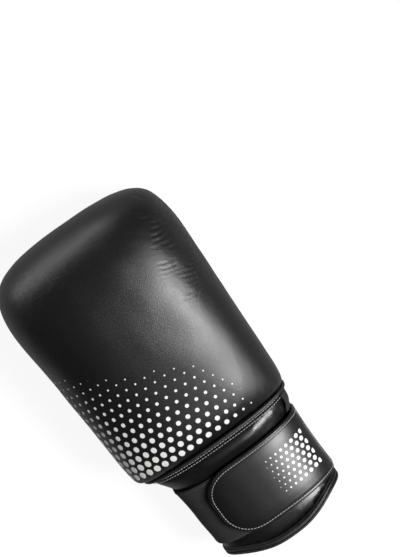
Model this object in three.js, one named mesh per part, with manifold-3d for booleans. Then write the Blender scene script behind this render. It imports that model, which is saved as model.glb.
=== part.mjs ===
import * as THREE from "three";
import { mergeVertices } from "three/addons/utils/BufferGeometryUtils.js";
import Module from "manifold-3d";

const wasm = await Module();
wasm.setup();

// A left-hand bag glove lying palm down, in millimetres: +X to the thumb side, +Y to the fingertips, +Z up
// from the surface it rests on. The origin is under the middle of the elastic band.

// Driving sizes
const REACH = 216.5; // from the middle of the elastic band to the fingertips
const PAD_HALF = 67.5; // half the pad's greatest width
const PAD_HEIGHT = 77; // the pad's crown above the surface
const PAD_MIDDLE = 31; // height of the pad's widest line
const SEAM_Y = 43; // seam between the pad and the wrist panel
const BAND_WIDTH = 51; // elastic band, strap and loop fabric
const WRIST_HALF = 46.8; // half the wrist's width at the band, without the band
const WRIST_SHIFT = 6; // the wrist sits this far to the thumb side
const WRIST_HEIGHT = 56; // top of the wrist panel at the band
const RIM_Y = -32.5; // bound edge of the wrist at the two sides
const RIM_ARC = 9.2; // the edge runs this much further at the middle of the back
const GAP = 0.3; // between neighbouring pieces
const LAYER_GAP = 0.5; // between layers wrapped round the wrist
const BAND_THICK = 1.8;
const FLOOR_LIFT = BAND_THICK + LAYER_GAP; // wrist leather above the surface, where the band lies under it

// Wall thicknesses
const LEATHER = 2;
const BACK_PADDING = 5;
const LOOP_THICK = 1.4;
const STRAP_THICK = 2.8;
const LIP_THICK = 3;
const GRIP_THICK = 14;
const BINDING_WIDTH = 4.4;

// Palm opening in the pad, closed from the palm side by the lip, the grip roll and the palm leather
const ROLL_EDGE_Y = 168; // gathered edge of the finger roll
const LIP_Y = 159.3;
const GRIP_Y = 140.6;
const EDGE_GAP = 0.5;

// Vent hole in the palm
const VENT_X = -5.3;
const VENT_Y = 113.9;
const VENT_RADIUS = 5.2;

// Pad: a row per section. at is a share of REACH, left and right of PAD_HALF, under and over of PAD_HEIGHT.
const PAD = [
  { at: 0.196, left: 0.855, right: 0.865, under: 0.22, over: 0.745 },
  { at: 0.208, left: 0.89, right: 0.9, under: 0.195, over: 0.795 },
  { at: 0.235, left: 0.912, right: 0.925, under: 0.17, over: 0.845 },
  { at: 0.28, left: 0.922, right: 0.935, under: 0.158, over: 0.878 },
  { at: 0.34, left: 0.926, right: 0.94, under: 0.15, over: 0.905 },
  { at: 0.43, left: 0.934, right: 0.95, under: 0.15, over: 0.938 },
  { at: 0.52, left: 0.943, right: 0.955, under: 0.138, over: 0.967 },
  { at: 0.61, left: 0.953, right: 0.965, under: 0.105, over: 0.99 },
  { at: 0.7, left: 0.974, right: 0.978, under: 0.065, over: 1.0 },
  { at: 0.775, left: 1.0, right: 0.985, under: 0.03, over: 0.99 },
  { at: 0.83, left: 0.998, right: 0.986, under: 0.0, over: 0.965 },
  { at: 0.875, left: 0.973, right: 0.962, under: -0.01, over: 0.925 },
  { at: 0.915, left: 0.935, right: 0.93, under: 0.025, over: 0.868 },
  { at: 0.944, left: 0.868, right: 0.868, under: 0.08, over: 0.805 },
  { at: 0.967, left: 0.76, right: 0.76, under: 0.15, over: 0.73 },
  { at: 0.985, left: 0.58, right: 0.57, under: 0.235, over: 0.645 },
  { at: 0.995, left: 0.35, right: 0.34, under: 0.32, over: 0.56 },
];
const PAD_TIP_HEIGHT = 0.44; // share of PAD_HEIGHT

// Hand pocket: a row per section, in the same shares as the pad.
const POCKET = [
  { at: 0.1, left: 0.62, right: 0.71, under: 0.14, over: 0.655 },
  { at: 0.2, left: 0.7, right: 0.75, under: 0.15, over: 0.66 },
  { at: 0.28, left: 0.745, right: 0.765, under: 0.18, over: 0.665 },
  { at: 0.42, left: 0.76, right: 0.77, under: 0.19, over: 0.665 },
  { at: 0.56, left: 0.77, right: 0.77, under: 0.18, over: 0.655 },
  { at: 0.7, left: 0.77, right: 0.77, under: 0.2, over: 0.64 },
  { at: 0.785, left: 0.74, right: 0.74, under: 0.255, over: 0.6 },
  { at: 0.83, left: 0.65, right: 0.65, under: 0.3, over: 0.555 },
  { at: 0.86, left: 0.47, right: 0.47, under: 0.35, over: 0.505 },
];
const POCKET_TIP = { at: 0.873, height: 0.43 };

// Wrist: a row per section of its outer leather. left and right are shares of WRIST_HALF on each side of
// WRIST_SHIFT, and flare is how far the sides have gone out to the pad. under, over and edge are shares of
// WRIST_HEIGHT, with edge where the palm leather meets the back panel.
const WRIST = [
  { at: -0.21, left: 0.95, right: 1.02, flare: 0, under: 0.03, over: 0.965, edge: 0.5 },
  { at: -0.12, left: 0.955, right: 1.0, flare: 0, under: 0.02, over: 0.985, edge: 0.5 },
  { at: 0.0, left: 0.985, right: 0.985, flare: 0, under: 0.02, over: 1.0, edge: 0.5 },
  { at: 0.11, left: 0.985, right: 0.985, flare: 0.16, under: 0.02, over: 1.0, edge: 0.5 },
  { at: 0.145, left: 0.985, right: 0.985, flare: 0.47, under: 0.07, over: 1.02, edge: 0.47 },
  { at: 0.175, left: 0.985, right: 0.985, flare: 0.78, under: 0.11, over: 1.02, edge: 0.37 },
  { at: 0.2, left: 0.985, right: 0.985, flare: 1, under: 0.15, over: 1.005, edge: 0.29 },
];
const FLARED = { left: 0.79, right: 0.845 }; // where the sides meet the pad, as shares of PAD_HALF

// Palm leather beyond the wrist: a row per section. left and right are shares of PAD_HALF, middle and edge the
// heights of its middle and its sides as shares of PAD_HEIGHT.
const PALM = [
  { at: 0.2, left: 0.7, right: 0.72, middle: 0.1, edge: 0.21 },
  { at: 0.235, left: 0.775, right: 0.79, middle: 0.13, edge: 0.18 },
  { at: 0.3, left: 0.8, right: 0.81, middle: 0.155, edge: 0.192 },
  { at: 0.42, left: 0.81, right: 0.825, middle: 0.175, edge: 0.192 },
  { at: 0.53, left: 0.825, right: 0.835, middle: 0.168, edge: 0.185 },
  { at: 0.65, left: 0.845, right: 0.845, middle: 0.125, edge: 0.155 },
  { at: 0.785, left: 0.87, right: 0.85, middle: 0.07, edge: 0.11 },
];

// Folds of the palm leather: each runs from one point past another to a third and stands out by its height. Points
// are shares of PAD_HALF and REACH.
const FOLDS = [
  { from: [0.86, 0.476], past: [0.07, 0.443], to: [-0.785, 0.296], height: 3.6, width: 6 },
  { from: [0.44, 0.425], past: [-0.22, 0.36], to: [-0.65, 0.222], height: 2.2, width: 5 },
  { from: [-0.68, 0.277], past: [-0.56, 0.222], to: [-0.53, 0.152], height: 3.4, width: 7 },
  { from: [-0.4, 0.13], past: [-0.33, 0.286], to: [-0.06, 0.166], height: 2.6, width: 4.5 },
  { from: [0.24, 0.259], past: [0.3, 0.194], to: [0.27, 0.125], height: 2.2, width: 5 },
  { from: [0.5, 0.203], past: [0.44, 0.166], to: [0.46, 0.125], height: 1.8, width: 4 },
];

// Thumb sleeve: a row per section from its root in the palm to its open end. x, y and z place its middle as shares
// of PAD_HALF, REACH and PAD_HEIGHT. long and high are half its opening, as shares of REACH and PAD_HEIGHT. slant
// moves x along the length, and lean moves it with height.
const THUMB = [
  { x: 0.645, y: 0.329, z: 0.286, long: 0.125, high: 0.13, slant: 0.1, lean: 0.6 },
  { x: 0.705, y: 0.343, z: 0.247, long: 0.111, high: 0.143, slant: -0.1, lean: 0.35 },
  { x: 0.76, y: 0.354, z: 0.214, long: 0.097, high: 0.153, slant: -0.28, lean: 0.12 },
  { x: 0.81, y: 0.361, z: 0.195, long: 0.086, high: 0.158, slant: -0.4, lean: 0 },
];
const THUMB_BEYOND = { x: 1.27, y: 0.425, z: 0.156, long: 0.103, high: 0.182, slant: -0.4, lean: 0 };
const THUMB_HEM = 0.8;

const lerp = (a, b, t) => a + (b - a) * t;
const clamp = (v, low, high) => Math.min(high, Math.max(low, v));
const ease = (t) => clamp(t, 0, 1) ** 2 * (3 - 2 * clamp(t, 0, 1));
const power = (v, p) => Math.sign(v) * Math.abs(v) ** p;
const steps = (n) => Array.from({ length: n + 1 }, (_, i) => i / n);

// A column of a table at any place between its rows, without overshoot.
function column(table, key, at) {
  const last = table.length - 1;
  if (at <= table[0].at) return table[0][key];
  if (at >= table[last].at) return table[last][key];
  const i = table.findIndex((row, k) => at < table[k + 1].at);
  const slope = (k) =>
    (table[k + 1][key] - table[k][key]) / (table[k + 1].at - table[k].at);
  const tangent = (k) => {
    if (k === 0) return slope(0);
    if (k === last) return slope(last - 1);
    const [before, after] = [slope(k - 1), slope(k)];
    return before * after <= 0 ? 0 : (2 * before * after) / (before + after);
  };
  const span = table[i + 1].at - table[i].at;
  const t = (at - table[i].at) / span;
  return (
    table[i][key] * (1 + 2 * t) * (1 - t) ** 2 +
    table[i + 1][key] * t * t * (3 - 2 * t) +
    span * (tangent(i) * t * (1 - t) ** 2 + tangent(i + 1) * t * t * (t - 1))
  );
}

// A body from indexed points and triangles.
function body(points, triangles) {
  const geometry = new THREE.BufferGeometry();
  geometry.setAttribute(
    "position",
    new THREE.Float32BufferAttribute(points.flatMap((p) => [p.x, p.y, p.z]), 3),
  );
  geometry.setIndex(triangles.flat());
  return outward(geometry);
}

// Signed volume of an indexed geometry, used to make its faces point out.
function outward(geometry) {
  const p = geometry.attributes.position;
  const index = geometry.index.array;
  const [a, b, c] = [new THREE.Vector3(), new THREE.Vector3(), new THREE.Vector3()];
  let volume = 0;
  for (let i = 0; i < index.length; i += 3) {
    a.fromBufferAttribute(p, index[i]);
    b.fromBufferAttribute(p, index[i + 1]);
    c.fromBufferAttribute(p, index[i + 2]);
    volume += a.dot(b.cross(c));
  }
  if (volume < 0)
    for (let i = 0; i < index.length; i += 3)
      [index[i + 1], index[i + 2]] = [index[i + 2], index[i + 1]];
  return geometry;
}

// Triangles of the strip between two neighbouring rings of n points that start at a and b.
const strip = (a, b, n) =>
  Array.from({ length: n }, (_, i) => {
    const j = (i + 1) % n;
    return [a + i, a + j, b + j, a + i, b + j, b + i];
  });

// A closed body through rings of points, each end closed on a point of its own.
function loft(rings, start, end) {
  const n = rings[0].length;
  const points = [...rings.flat(), start, end];
  const fan = (ring, tip, turn) =>
    Array.from({ length: n }, (_, i) => {
      const pair = [ring + i, ring + ((i + 1) % n)];
      return [...(turn ? pair : pair.reverse()), tip];
    });
  const walls = rings.slice(1).flatMap((_, k) => strip(k * n, (k + 1) * n, n));
  return body(points, [
    ...walls,
    ...fan(0, points.length - 2, false),
    ...fan((rings.length - 1) * n, points.length - 1, true),
  ]);
}

// An open tube between outer and inner rings.
function tube(outer, inner) {
  const n = outer[0].length;
  const rings = [...outer, ...[...inner].reverse()];
  const walls = rings.flatMap((_, k) => strip(k * n, ((k + 1) % rings.length) * n, n));
  return body(rings.flat(), walls);
}

// A sheet inside surface(u, v), which u and v cross from 0 to 1. Its thickness is kept in each section across y.
function sheet(surface, thickness, across, along) {
  const small = 1e-3;
  const inside = (u, v) => {
    const p = surface(u, v);
    const du = surface(Math.min(u + small, 1), v).sub(surface(Math.max(u - small, 0), v));
    const dv = surface(u, Math.min(v + small, 1)).sub(surface(u, Math.max(v - small, 0)));
    return p.addScaledVector(du.cross(dv).setY(0).normalize(), thickness);
  };
  const points = [surface, inside].flatMap((at) =>
    along.flatMap((v) => across.map((u) => at(u, v))),
  );
  const [m, n] = [across.length, along.length];
  const quads = [];
  const quad = (a, b, c, d) => quads.push([a, b, c, a, c, d]);
  for (let j = 0; j < n - 1; j++)
    for (let i = 0; i < m - 1; i++) {
      const a = j * m + i;
      quad(a, a + 1, a + m + 1, a + m);
      quad(a + m * n, a + m + m * n, a + m + 1 + m * n, a + 1 + m * n);
    }
  const edge = [];
  for (let i = 0; i < m - 1; i++) edge.push(i);
  for (let j = 0; j < n - 1; j++) edge.push(j * m + m - 1);
  for (let i = m - 1; i > 0; i--) edge.push((n - 1) * m + i);
  for (let j = n - 1; j > 0; j--) edge.push(j * m);
  edge.forEach((a, k) => {
    const b = edge[(k + 1) % edge.length];
    quad(b, a, a + m * n, b + m * n);
  });
  return body(points, quads);
}

// Solids for adding and cutting.
function solid(geometry) {
  const merged = mergeVertices(geometry, 1e-4);
  return new wasm.Manifold(
    new wasm.Mesh({
      numProp: 3,
      vertProperties: new Float32Array(merged.attributes.position.array),
      triVerts: new Uint32Array(merged.index.array),
    }),
  );
}

function cut(geometry, ...tools) {
  const left = tools.reduce((rest, tool) => rest.subtract(solid(tool)), solid(geometry));
  const mesh = left.getMesh();
  const made = new THREE.BufferGeometry();
  made.setAttribute("position", new THREE.BufferAttribute(mesh.vertProperties, 3));
  made.setIndex(new THREE.BufferAttribute(mesh.triVerts, 1));
  return made;
}

// Rounded section of the pad or pocket across y, squarer below by belly.
function section(table, y, columns, square, belly = square) {
  const at = y / REACH;
  const size = (key) => column(table, key, at);
  const left = size("left") * PAD_HALF;
  const right = size("right") * PAD_HALF;
  const under = size("under") * PAD_HEIGHT;
  const over = size("over") * PAD_HEIGHT;
  const middle = clamp(PAD_MIDDLE, lerp(under, over, 0.42), lerp(under, over, 0.58));
  return Array.from({ length: columns }, (_, i) => {
    const turn = (2 * Math.PI * i) / columns;
    const [c, s] = [Math.cos(turn), Math.sin(turn)];
    const bend = 2 / (s > 0 ? square : belly);
    const x = power(c, bend) * (c > 0 ? right : left);
    const z = middle + power(s, bend) * (s > 0 ? over - middle : middle - under);
    return new THREE.Vector3(x, y, Math.max(0, z));
  });
}

// Finger pad, rolled under the fingertips and open to the palm
function knucklePad() {
  const stations = [
    ...PAD.map((row) => row.at),
    0.25, 0.31, 0.385, 0.475, 0.565, 0.655, 0.74, 0.803, 0.853, 0.896, 0.93, 0.956, 0.977,
  ].sort((a, b) => a - b);
  const outer = [SEAM_Y, ...stations.slice(1).map((at) => at * REACH)].map((y) =>
    section(PAD, y, 40, 2.5, lerp(4, 2.8, ease((y - LIP_Y) / (REACH - LIP_Y)))),
  );
  const back = new THREE.Vector3(0, SEAM_Y, PAD_MIDDLE);
  const tip = new THREE.Vector3(0, REACH, PAD_TIP_HEIGHT * PAD_HEIGHT);
  const pocketStations = [0.1, 0.2, 0.28, 0.35, 0.42, 0.49, 0.56, 0.63, 0.7, 0.785, 0.83, 0.86];
  const pocket = loft(
    pocketStations.map((at) => section(POCKET, at * REACH, 28, 2.6)),
    new THREE.Vector3(0, 0.1 * REACH, PAD_MIDDLE),
    new THREE.Vector3(0, POCKET_TIP.at * REACH, POCKET_TIP.height * PAD_HEIGHT),
  );
  return cut(loft(outer, back, tip), pocket, palmOpening(), thumbSolid(GAP + 0.1, true));
}

// What the palm opening takes out of the pad: a straight-sided body under the pocket
function palmOpening() {
  const rows = [0.13, ...PALM.map((row) => row.at).slice(0, -1), 0.72, ROLL_EDGE_Y / REACH];
  const rings = rows.map((at) => {
    const y = at * REACH;
    const left = -column(PALM, "left", at) * PAD_HALF - EDGE_GAP;
    const right = column(PALM, "right", at) * PAD_HALF + EDGE_GAP;
    const top = Math.max(column(PALM, "middle", at), column(PALM, "edge", at)) * PAD_HEIGHT + 3.5;
    const high = Math.max(top, y > GRIP_Y - 4 ? 20 : 0);
    return [
      new THREE.Vector3(left, y, -20),
      new THREE.Vector3(right, y, -20),
      new THREE.Vector3(right, y, high),
      new THREE.Vector3(left, y, high),
    ];
  });
  const middle = (ring) => new THREE.Vector3(0, ring[0].y, 0);
  return loft(rings, middle(rings[0]), middle(rings[rings.length - 1]));
}

// Point of the wrist's outer leather, out millimetres outside it, at an angle up from the thumb side.
function wristPoint(y, angle, out) {
  const at = y / REACH;
  const size = (key) => column(WRIST, key, at);
  const under = size("under") * WRIST_HEIGHT;
  const over = size("over") * WRIST_HEIGHT;
  const middle = (under + over) / 2;
  const [c, s] = [Math.cos(angle), Math.sin(angle)];
  const near = (c > 0 ? size("right") : size("left")) * WRIST_HALF;
  const far = c > 0 ? FLARED.right * PAD_HALF - WRIST_SHIFT : FLARED.left * PAD_HALF + WRIST_SHIFT;
  const side = lerp(near, far, size("flare")) + out;
  const high = (over - under) / 2 + out;
  const p = new THREE.Vector3(
    WRIST_SHIFT + power(c, 0.8) * side,
    y,
    middle + power(s, 0.8) * high,
  );
  p.z = Math.max(p.z, FLOOR_LIFT - Math.max(out, 0));
  return p;
}

// Angle below the thumb side or the far side at which the palm leather meets the back panel.
function edgeAngle(y, lower) {
  const at = y / REACH;
  const under = column(WRIST, "under", at) * WRIST_HEIGHT;
  const over = column(WRIST, "over", at) * WRIST_HEIGHT;
  const middle = (under + over) / 2;
  const z = column(WRIST, "edge", at) * WRIST_HEIGHT - lower;
  return -Math.asin(clamp((middle - z) / ((over - under) / 2), -1, 1) ** 1.25 || 0);
}

// Y of the bound edge around the wrist.
const rimY = (angle) =>
  RIM_Y -
  RIM_ARC * Math.max(0, Math.sin(angle)) ** 4.5 -
  0.7 * RIM_ARC * Math.max(0, -Math.sin(angle)) ** 1.5;

// How far the back panel bulges out beside the strap
function puff(y, angle) {
  const above = 2.6 * Math.exp(-(((y - 33.6) / 4.1) ** 2));
  const below = Math.exp(-(((y + 31) / 3) ** 2));
  return (above + below) * Math.max(0, Math.sin(angle)) ** 0.5;
}

// Padded panel on the back of the wrist
function cuffBack() {
  const surface = (u, v) => {
    const yAt = (angle) => lerp(rimY(angle) + 2.6, SEAM_Y - 1.2, v);
    const low = edgeAngle(yAt(0), -4 * GAP);
    const angle = lerp(low, Math.PI - low, u);
    return wristPoint(yAt(angle), angle, puff(yAt(angle), angle));
  };
  return sheet(surface, BACK_PADDING, steps(24), steps(12));
}

// Palm leather with its folds, from the grip roll to the wrist's bound edge
function palmPanel() {
  const end = RIM_Y + 2.6;
  const surface = (u, v) => {
    const turn = (u - 0.5) * Math.PI;
    const flat = (y) => {
      const at = y / REACH;
      const [left, right] = [-column(PALM, "left", at), column(PALM, "right", at)];
      const x = lerp(left, right, 0.5 + 0.5 * power(Math.sin(turn), 0.85)) * PAD_HALF;
      const high = lerp(column(PALM, "middle", at), column(PALM, "edge", at), (2 * u - 1) ** 4);
      return new THREE.Vector3(x, y, high * PAD_HEIGHT);
    };
    const round = (y) => {
      const low = edgeAngle(y, 0);
      return wristPoint(y, lerp(Math.PI - low, 2 * Math.PI + low, u), 0);
    };
    const rim = rimY(lerp(Math.PI, 2 * Math.PI, u)) - RIM_Y;
    const y = lerp(end + rim, GRIP_Y - GAP, v);
    const p = y > 52 ? flat(y) : round(Math.min(y, SEAM_Y));
    if (y > SEAM_Y && y <= 52) p.lerp(flat(y), ease((y - SEAM_Y) / (52 - SEAM_Y))).setY(y);
    const sides = ease((1 - Math.abs(2 * u - 1)) / 0.16);
    const band = ease((y - BAND_WIDTH / 2 - 5) / 6);
    const out = foldHeight(p.x, y) * sides * band;
    const pucker = 0.6 * Math.sin(p.x / 2.2) * ease((-BAND_WIDTH / 2 - y) / 4) * sides;
    p.z = Math.max(p.z - out + pucker, Math.min(p.z, 0.8));
    return p;
  };
  const panel = sheet(surface, LEATHER, steps(24), steps(27));
  const vent = new THREE.CylinderGeometry(VENT_RADIUS, VENT_RADIUS, 40, 20);
  vent.rotateX(Math.PI / 2).translate(VENT_X, VENT_Y, PAD_HEIGHT * 0.17);
  vent.deleteAttribute("normal");
  vent.deleteAttribute("uv");
  return cut(panel, vent, thumbSolid(GAP, true));
}

function foldHeight(x, y) {
  const here = new THREE.Vector2(x, y);
  const point = new THREE.Vector2();
  const total = FOLDS.map((fold) => {
    const place = ([across, along]) => new THREE.Vector2(across * PAD_HALF, along * REACH);
    const curve = new THREE.QuadraticBezierCurve(
      place(fold.from),
      place(fold.past),
      place(fold.to),
    );
    const near = steps(14).map((t) => [curve.getPoint(t, point).distanceTo(here), t]);
    const [distance, t] = near.reduce((a, b) => (b[0] < a[0] ? b : a));
    const ends = 0.35 + 0.65 * Math.sin(Math.PI * t);
    return fold.height * ends * Math.exp(-((distance / fold.width) ** 2));
  });
  return total.reduce((a, b) => a + b, 0);
}

const thumbMiddle = (row) =>
  new THREE.Vector3(row.x * PAD_HALF, row.y * REACH, row.z * PAD_HEIGHT);

// Ring of the thumb sleeve, grown outwards by out
function thumbRing(row, out, columns) {
  return Array.from({ length: columns }, (_, i) => {
    const turn = (2 * Math.PI * i) / columns;
    const along = power(Math.cos(turn), 0.88) * (row.long * REACH + out);
    const up = power(Math.sin(turn), 0.88) * (row.high * PAD_HEIGHT + out);
    return new THREE.Vector3(row.slant * along + row.lean * up, along, up).add(thumbMiddle(row));
  });
}

function thumbRows() {
  const keys = Object.keys(THUMB[0]);
  const between = (a, b, t) => Object.fromEntries(keys.map((k) => [k, lerp(a[k], b[k], t)]));
  return THUMB.flatMap((row, i) =>
    i < THUMB.length - 1 ? [row, between(row, THUMB[i + 1], 0.5)] : [row],
  );
}

// The sleeve's whole room as a solid body, for cutting the leather and the pad clear of it.
function thumbSolid(out, beyond) {
  const rows = beyond ? [...thumbRows(), THUMB_BEYOND] : thumbRows();
  const rings = rows.map((row) => thumbRing(row, out + THUMB_HEM, 28));
  return loft(rings, thumbMiddle(rows[0]), thumbMiddle(rows[rows.length - 1]));
}

// Open-ended thumb sleeve with its folded hem
function thumbSleeve() {
  const rows = thumbRows();
  const hem = (i) => (i >= rows.length - 3 ? THUMB_HEM : 0);
  return tube(
    rows.map((row, i) => thumbRing(row, hem(i), 28)),
    rows.map((row) => thumbRing(row, -LEATHER, 28)),
  );
}

// Padded bar across the palm
function gripRoll() {
  const [low, high] = [GRIP_Y + GAP, LIP_Y - GAP];
  const at = (low + high) / 2 / REACH;
  const left = -column(PALM, "left", at) * PAD_HALF;
  const right = column(PALM, "right", at) * PAD_HALF;
  const rise = (u) => PAD_HEIGHT * (0.112 + 0.047 * (2 * u - 1) ** 4);
  const rings = [0.004, 0.02, 0.05, 0.1, 0.2, 0.32, 0.44, 0.56, 0.68, 0.8, 0.9, 0.95, 0.98, 0.996].map(
    (u) => {
      const round = (1 - Math.abs(2 * u - 1) ** 14) ** 0.4;
      return Array.from({ length: 18 }, (_, i) => {
        const turn = (2 * Math.PI * i) / 18;
        const y = (low + high) / 2 + (power(Math.cos(turn), 0.8) * (high - low) * round) / 2;
        const z = rise(u) + (power(Math.sin(turn), 0.9) * GRIP_THICK * round) / 2;
        return new THREE.Vector3(lerp(left, right, u), y, z);
      });
    },
  );
  const end = (x) => new THREE.Vector3(x, (low + high) / 2, rise(0));
  return loft(rings, end(left), end(right));
}

// Strip of leather between the grip roll and the finger roll
function fingerLip() {
  const at = 0.765;
  const left = -column(PALM, "left", at) * PAD_HALF;
  const right = column(PALM, "right", at) * PAD_HALF;
  const surface = (u, v) => {
    const side = Math.abs(2 * u - 1);
    const corner = 2.6 * side ** 10;
    const y = lerp(LIP_Y + GAP + corner, ROLL_EDGE_Y - GAP, v);
    const z = PAD_HEIGHT * (0.065 - 0.016 * Math.sin(Math.PI * v) + 0.052 * side ** 4);
    return new THREE.Vector3(lerp(left, right, u), y, z);
  };
  return sheet(surface, LIP_THICK, steps(14), steps(3));
}

// Welt that closes the seam between the pad and the wrist panel
function seamWelt() {
  const radius = 1.1;
  const y = SEAM_Y - GAP - radius;
  const low = edgeAngle(y, 0) + 0.05;
  const rings = steps(26).map((u) => {
    const angle = lerp(low, Math.PI - low, u);
    const middle = wristPoint(y, angle, radius + 0.5);
    const out = wristPoint(y, angle, radius + 1.5).sub(middle).normalize();
    return Array.from({ length: 8 }, (_, i) => {
      const turn = (2 * Math.PI * i) / 8;
      return middle
        .clone()
        .addScaledVector(out, radius * Math.cos(turn))
        .add(new THREE.Vector3(0, radius * Math.sin(turn), 0));
    });
  });
  const centre = (ring) =>
    ring.reduce((sum, p) => sum.add(p), new THREE.Vector3()).divideScalar(ring.length);
  return loft(rings, centre(rings[0]), centre(rings[rings.length - 1]));
}

// Bound edge round the whole wrist
function cuffBinding() {
  const columns = 40;
  const rings = Array.from({ length: columns }, (_, k) => {
    const angle = (2 * Math.PI * k) / columns;
    const y = rimY(angle);
    const back = ease(Math.sin(angle) * 3 + 0.5);
    const depth = lerp(LEATHER, BACK_PADDING, back) / 2;
    const middle = wristPoint(y, angle, -depth);
    const out = wristPoint(y, angle, 1 - depth).sub(middle).normalize();
    return Array.from({ length: 8 }, (_, i) => {
      const turn = (2 * Math.PI * i) / 8;
      return middle
        .clone()
        .addScaledVector(out, (depth + 0.7) * Math.cos(turn))
        .add(new THREE.Vector3(0, (BINDING_WIDTH / 2) * Math.sin(turn), 0));
    });
  });
  const walls = rings.flatMap((_, k) => strip(k * 8, ((k + 1) % columns) * 8, 8));
  return body(rings.flat(), walls);
}

// Ribbed elastic round the palm side of the wrist
function elasticBand() {
  const half = BAND_WIDTH / 2;
  const surface = (u, v) => {
    const y = lerp(-half, half, v);
    return wristPoint(y, lerp(Math.PI + 0.06, 2 * Math.PI - 0.04, u), LAYER_GAP + BAND_THICK);
  };
  return sheet(surface, BAND_THICK, steps(22), steps(4));
}

// Loop fabric that the strap closes on
function loopPatch() {
  const half = BAND_WIDTH / 2 - 1.6;
  const surface = (u, v) =>
    wristPoint(lerp(-half, half, v), lerp(0.55, Math.PI + 0.04, u), LAYER_GAP + LOOP_THICK);
  return sheet(surface, LOOP_THICK, steps(20), steps(4));
}

// Leather strap: sewn on at the thumb side, with a rounded free end
function wristStrap() {
  const corner = 21;
  const reach = 88;
  const angleEnd = 2.18;
  const surface = (u, v) => {
    const fromEnd = (1 - u) * reach;
    const drop = corner - Math.sqrt(Math.max(0, corner ** 2 - Math.max(0, corner - fromEnd) ** 2));
    const half = BAND_WIDTH / 2 - drop;
    const lift = lerp(LAYER_GAP, 2 * LAYER_GAP + LOOP_THICK, ease((lerp(0.02, angleEnd, u) - 0.1) / 0.4));
    return wristPoint(lerp(-half, half, v), lerp(0.02, angleEnd, u), lift + STRAP_THICK);
  };
  const across = [...steps(16).slice(0, -3), 0.86, 0.905, 0.94, 0.965, 0.985, 1];
  return sheet(surface, STRAP_THICK, across, steps(8));
}

// Small woven gusset on the thumb side between the pad and the strap
function sideGusset() {
  const surface = (u, v) => {
    const y = lerp(BAND_WIDTH / 2 + 1, SEAM_Y - 3.4, v);
    const angle = lerp(-0.28, 0.5, u);
    return wristPoint(y, angle, puff(y, angle) + LAYER_GAP + 1.2);
  };
  return sheet(surface, 1.2, steps(8), steps(4));
}

const glove = new THREE.Group();

function add(name, geometry, color, roughness) {
  const material = new THREE.MeshStandardMaterial({ color, roughness, metalness: 0 });
  geometry = geometry.index ? geometry.toNonIndexed() : geometry;
  geometry.computeVertexNormals();
  const mesh = new THREE.Mesh(geometry, material);
  mesh.name = name;
  glove.add(mesh);
}

add("knuckle_pad", knucklePad(), 0x1b1b1d, 0.45);
add("finger_lip", fingerLip(), 0x1b1b1d, 0.45);
add("grip_roll", gripRoll(), 0x18181a, 0.4);
add("palm_panel", palmPanel(), 0x18181a, 0.35);
add("thumb_sleeve", thumbSleeve(), 0x18181a, 0.35);
add("cuff_back", cuffBack(), 0x1b1b1d, 0.4);
add("seam_welt", seamWelt(), 0x101012, 0.5);
add("side_gusset", sideGusset(), 0x141416, 0.9);
add("elastic_band", elasticBand(), 0x202124, 0.85);
add("loop_patch", loopPatch(), 0x141416, 0.95);
add("wrist_strap", wristStrap(), 0x1b1b1d, 0.4);
add("cuff_binding", cuffBinding(), 0x101012, 0.5);

export default glove;
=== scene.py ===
import math

import bmesh
import bpy
import numpy as np
from mathutils import Matrix, Vector, noise
from mathutils.bvhtree import BVHTree


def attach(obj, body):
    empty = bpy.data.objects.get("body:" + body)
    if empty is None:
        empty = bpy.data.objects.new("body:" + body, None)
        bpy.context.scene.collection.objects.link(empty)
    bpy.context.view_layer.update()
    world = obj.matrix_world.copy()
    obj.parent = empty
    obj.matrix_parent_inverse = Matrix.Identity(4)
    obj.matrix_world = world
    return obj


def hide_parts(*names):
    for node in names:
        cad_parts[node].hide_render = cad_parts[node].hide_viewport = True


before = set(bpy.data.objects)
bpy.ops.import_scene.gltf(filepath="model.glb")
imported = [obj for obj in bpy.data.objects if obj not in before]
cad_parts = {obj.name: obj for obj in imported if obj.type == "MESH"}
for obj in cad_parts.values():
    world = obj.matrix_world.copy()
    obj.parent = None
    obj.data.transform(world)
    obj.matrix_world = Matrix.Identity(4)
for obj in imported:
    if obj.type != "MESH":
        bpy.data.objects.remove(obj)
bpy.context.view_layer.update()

# A left-hand bag glove lying palm down, in metres: +X to the thumb side, +Y to the fingertips, +Z up.

# Sizes shared with the solids
REACH = 0.2165
PAD_HALF = 0.0675
PAD_HEIGHT = 0.077
PAD_MIDDLE = 0.031
SEAM_Y = 0.043
BAND_HALF = 0.0255
WRIST_HALF = 0.0468
WRIST_SHIFT = 0.006
WRIST_HEIGHT = 0.056
RIM_Y = -0.0325
RIM_ARC = 0.0092
LAYER_GAP = 0.0005
BAND_THICK = 0.0018
FLOOR_LIFT = BAND_THICK + LAYER_GAP
LEATHER = 0.002
LOOP_THICK = 0.0014
GUSSET_THICK = 0.0012
STRAP_THICK = 0.0028
LIP_THICK = 0.003
LIP_Y = 0.1593
GRIP_Y = 0.1406
ROLL_EDGE_Y = 0.168
VENT_X = -0.0053
VENT_Y = 0.1139
VENT_RADIUS = 0.0052

# Sewing
STITCH = dict(Pitch=0.0026, Length=0.0024, Thickness=0.0007)
FINE_STITCH = dict(Pitch=0.0022, Length=0.0021, Thickness=0.0005)
ROW_GAP = 0.0027
SEAM_ROW_GAP = 0.0017
STRAP_REACH = 0.088
STRAP_CORNER = 0.021
STRAP_START = 0.02
STRAP_END = 2.18
STRAP_STITCH_IN = 0.0022
STRAP_SEWN = 0.145

# Sheets: their flat size, and the line from which their outer side faces away
PALM_WIDTH = 0.14
PALM_LENGTH = 0.175
HAND_AXIS = (0, 0.05)
WRIST_AXIS = (WRIST_SHIFT, WRIST_HEIGHT / 2)

# How far the palm leather runs on under the back panel's edge, in radians round the wrist
PALM_TUCK = 0.055

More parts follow.
